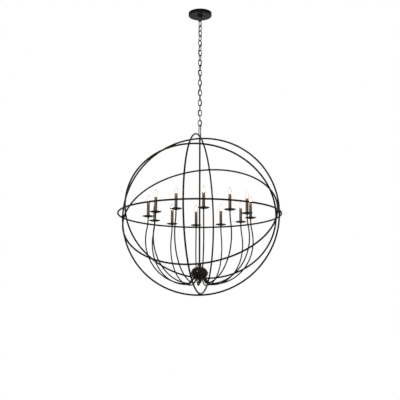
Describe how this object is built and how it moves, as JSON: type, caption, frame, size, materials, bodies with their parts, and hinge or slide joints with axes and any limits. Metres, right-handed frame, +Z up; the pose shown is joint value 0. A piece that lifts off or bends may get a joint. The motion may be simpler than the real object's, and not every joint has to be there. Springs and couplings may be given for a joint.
{
  "type": "orb chandelier",
  "caption": "Open orb of crossing round hoops hung on a chain from a ceiling canopy, with a ball hub whose swept arms carry candle lamps inside the orb.",
  "frame": {"origin": "on the ceiling plane, at the middle of the crossbar's top face and of its two slots", "axes": "+Z up through the ceiling, +X along the crossbar and the hoops' shared level diameter, -Y to the front"},
  "size_m": [1.219, 1.2192, 2.1899],
  "materials": {
    "bronze_finish": "dark bronze paint, low sheen, rubbed lighter on edges",
    "zinc_steel": "bright zinc plate",
    "green_earth": "green passivated",
    "clear_cord": "clear sheath over tinned wire",
    "candle_brown": "dark brown candle cover",
    "socket_dark": "moulded phenolic",
    "bulb_brass": "pressed brass shell",
    "bulb_glass": "clear blown glass",
    "bulb_filament": "lit filament wire"
  },
  "bodies": {
    "ceiling_set": {"crossbar": "zinc_steel", "earth_screw": "green_earth", "nipple": "zinc_steel", "locknut": "zinc_steel", "canopy": "bronze_finish", "canopy_loop": "bronze_finish", "screw_ring": "bronze_finish", "supply_cord": "clear_cord"},
    "chain_link_01": {"link_01": "bronze_finish"},
    "chain_link_02": {"link_02": "bronze_finish"},
    "chain_link_03": {"link_03": "bronze_finish"},
    "chain_link_04": {"link_04": "bronze_finish"},
    "chain_link_05": {"link_05": "bronze_finish"},
    "chain_link_06": {"link_06": "bronze_finish"},
    "chain_link_07": {"link_07": "bronze_finish"},
    "chain_link_08": {"link_08": "bronze_finish"},
    "chain_link_09": {"link_09": "bronze_finish"},
    "chain_link_10": {"link_10": "bronze_finish"},
    "chain_link_11": {"link_11": "bronze_finish"},
    "chain_link_12": {"link_12": "bronze_finish"},
    "chain_link_13": {"link_13": "bronze_finish"},
    "chain_link_14": {"link_14": "bronze_finish"},
    "chain_link_15": {"link_15": "bronze_finish"},
    "chain_link_16": {"link_16": "bronze_finish"},
    "chain_link_17": {"link_17": "bronze_finish"},
    "chain_link_18": {"link_18": "bronze_finish"},
    "chain_link_19": {"link_19": "bronze_finish"},
    "chain_link_20": {"link_20": "bronze_finish"},
    "chain_link_21": {"link_21": "bronze_finish"},
    "orb": {"orb_loop": "bronze_finish", "side_hoop": "bronze_finish", "front_hoop": "bronze_finish", "level_hoop": "bronze_finish", "near_hoop": "bronze_finish", "far_hoop": "bronze_finish", "stem": "bronze_finish", "hub_neck": "bronze_finish", "hub_cap": "bronze_finish", "hub_bowl": "bronze_finish", "finial": "bronze_finish", "arms": "bronze_finish", "arm_nuts": "zinc_steel", "drip_pans": "bronze_finish", "seat_nuts": "bronze_finish", "lamp_sockets": "socket_dark", "candle_sleeves": "candle_brown", "bulb_bases": "bulb_brass", "bulb_glasses": "bulb_glass", "bulb_filaments": "bulb_filament"}
  },
  "joints": [
    {"name": "swing_01", "type": "hinge", "parent": "ceiling_set", "child": "chain_link_01", "pos_m": [0, 0, -0.0693], "axis": [-0.8504, 0.5262, 0], "range_deg": [-30, 30], "deforming": ["supply_cord"]},
    {"name": "swing_02", "type": "hinge", "parent": "chain_link_01", "child": "chain_link_02", "pos_m": [0, 0, -0.109], "axis": [0.5592, 0.829, 0], "range_deg": [-30, 30], "deforming": ["supply_cord"]},
    {"name": "swing_03", "type": "hinge", "parent": "chain_link_02", "child": "chain_link_03", "pos_m": [0, 0, -0.149], "axis": [0.8064, -0.5913, 0], "range_deg": [-30, 30], "deforming": ["supply_cord"]},
    {"name": "swing_04", "type": "hinge", "parent": "chain_link_03", "child": "chain_link_04", "pos_m": [0, 0, -0.189], "axis": [-0.6225, -0.7826, 0], "range_deg": [-30, 30], "deforming": ["supply_cord"]},
    {"name": "swing_05", "type": "hinge", "parent": "chain_link_04", "child": "chain_link_05", "pos_m": [0, 0, -0.229], "axis": [-0.7576, 0.6528, 0], "range_deg": [-30, 30], "deforming": ["supply_cord"]},
    {"name": "swing_06", "type": "hinge", "parent": "chain_link_05", "child": "chain_link_06", "pos_m": [0, 0, -0.269], "axis": [-0.682, -0.7314, 0], "range_deg": [-30, 30], "deforming": ["supply_cord"]},
    {"name": "swing_07", "type": "hinge", "parent": "chain_link_06", "child": "chain_link_07", "pos_m": [0, 0, -0.309], "axis": [0.704, -0.7102, 0], "range_deg": [-30, 30], "deforming": ["supply_cord"]},
    {"name": "swing_08", "type": "hinge", "parent": "chain_link_07", "child": "chain_link_08", "pos_m": [0, 0, -0.349], "axis": [0.7373, 0.6756, 0], "range_deg": [-30, 30], "deforming": ["supply_cord"]},
    {"name": "swing_09", "type": "hinge", "parent": "chain_link_08", "child": "chain_link_09", "pos_m": [0, 0, -0.389], "axis": [-0.6461, 0.7632, 0], "range_deg": [-30, 30], "deforming": ["supply_cord"]},
    {"name": "swing_10", "type": "hinge", "parent": "chain_link_09", "child": "chain_link_10", "pos_m": [0, 0, -0.429], "axis": [0.788, 0.6157, 0], "range_deg": [-30, 30], "deforming": ["supply_cord"]},
    {"name": "swing_11", "type": "hinge", "parent": "chain_link_10", "child": "chain_link_11", "pos_m": [0, 0, -0.469], "axis": [0.5842, -0.8116, 0], "range_deg": [-30, 30], "deforming": ["supply_cord"]},
    {"name": "swing_12", "type": "hinge", "parent": "chain_link_11", "child": "chain_link_12", "pos_m": [0, 0, -0.509], "axis": [-0.8339, -0.5519, 0], "range_deg": [-30, 30], "deforming": ["supply_cord"]},
    {"name": "swing_13", "type": "hinge", "parent": "chain_link_12", "child": "chain_link_13", "pos_m": [0, 0, -0.549], "axis": [-0.5188, 0.8549, 0], "range_deg": [-30, 30], "deforming": ["supply_cord"]},
    {"name": "swing_14", "type": "hinge", "parent": "chain_link_13", "child": "chain_link_14", "pos_m": [0, 0, -0.589], "axis": [-0.8746, -0.4848, 0], "range_deg": [-30, 30], "deforming": ["supply_cord"]},
    {"name": "swing_15", "type": "hinge", "parent": "chain_link_14", "child": "chain_link_15", "pos_m": [0, 0, -0.629], "axis": [0.4501, -0.893, 0], "range_deg": [-30, 30], "deforming": ["supply_cord"]},
    {"name": "swing_16", "type": "hinge", "parent": "chain_link_15", "child": "chain_link_16", "pos_m": [0, 0, -0.669], "axis": [0.91, 0.4147, 0], "range_deg": [-30, 30], "deforming": ["supply_cord"]},
    {"name": "swing_17", "type": "hinge", "parent": "chain_link_16", "child": "chain_link_17", "pos_m": [0, 0, -0.709], "axis": [-0.3786, 0.9255, 0], "range_deg": [-30, 30], "deforming": ["supply_cord"]},
    {"name": "swing_18", "type": "hinge", "parent": "chain_link_17", "child": "chain_link_18", "pos_m": [0, 0, -0.749], "axis": [0.9397, 0.342, 0], "range_deg": [-30, 30], "deforming": ["supply_cord"]},
    {"name": "swing_19", "type": "hinge", "parent": "chain_link_18", "child": "chain_link_19", "pos_m": [0, 0, -0.789], "axis": [0.3049, -0.9524, 0], "range_deg": [-30, 30], "deforming": ["supply_cord"]},
    {"name": "swing_20", "type": "hinge", "parent": "chain_link_19", "child": "chain_link_20", "pos_m": [0, 0, -0.829], "axis": [-0.9636, -0.2672, 0], "range_deg": [-30, 30], "deforming": ["supply_cord"]},
    {"name": "swing_21", "type": "hinge", "parent": "chain_link_20", "child": "chain_link_21", "pos_m": [0, 0, -0.869], "axis": [-0.2292, 0.9734, 0], "range_deg": [-30, 30], "deforming": ["supply_cord"]},
    {"name": "swing_22", "type": "hinge", "parent": "chain_link_21", "child": "orb", "pos_m": [0, 0, -0.909], "axis": [-0.9816, -0.1908, 0], "range_deg": [-30, 30], "deforming": ["supply_cord"]}
  ]
}
